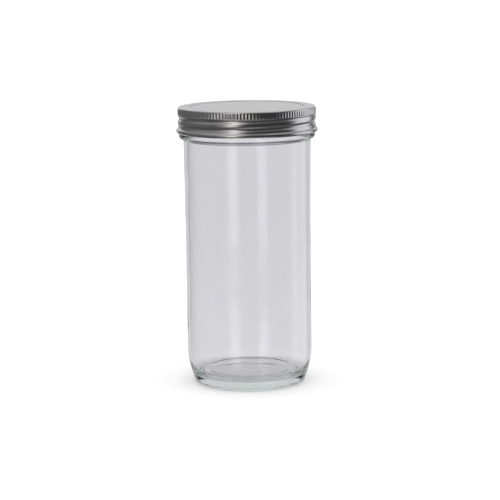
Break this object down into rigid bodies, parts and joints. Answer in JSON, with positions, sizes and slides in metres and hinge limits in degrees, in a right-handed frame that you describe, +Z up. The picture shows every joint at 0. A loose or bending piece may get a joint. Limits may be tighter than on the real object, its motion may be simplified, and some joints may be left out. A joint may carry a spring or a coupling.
{
  "type": "wide-mouth preserving jar with screw lid",
  "caption": "Tall straight-sided clear glass preserving jar, closed by a flat tinplate disc with a sealing ring and a fluted screw band.",
  "frame": {"origin": "centre of the foot ring, on the surface that the jar stands on", "axes": "+Z up along the jar's axis; the pictured side faces -Y; +X to the right of that view"},
  "size_m": [0.09, 0.09, 0.1775],
  "materials": {
    "jar": "clear soda-lime glass, smooth, faint green in the thick base",
    "lid_disc": "bright tinplate, fine rolling grain, satin",
    "seal_ring": "matt plastisol sealing compound",
    "screw_band": "bright tinplate, pressed and fluted, lightly handled"
  },
  "bodies": {
    "jar": {"jar": "jar"},
    "lid": {"lid_disc": "lid_disc", "seal_ring": "seal_ring"},
    "band": {"screw_band": "screw_band"}
  },
  "joints": [
    {"name": "lid_lift", "type": "slide", "parent": "jar", "child": "lid", "axis": [0, 0, 1], "range_m": [0, 0.0204]},
    {"name": "band_turn", "type": "hinge", "parent": "lid", "child": "band", "pos_m": [0, 0, 0.17], "axis": [0, 0, 1], "range_deg": [0, 1440]}
  ],
  "couplings": [
    {"joint": "lid_lift", "follows": "band_turn", "m_per_rad": 0.00080851}
  ]
}
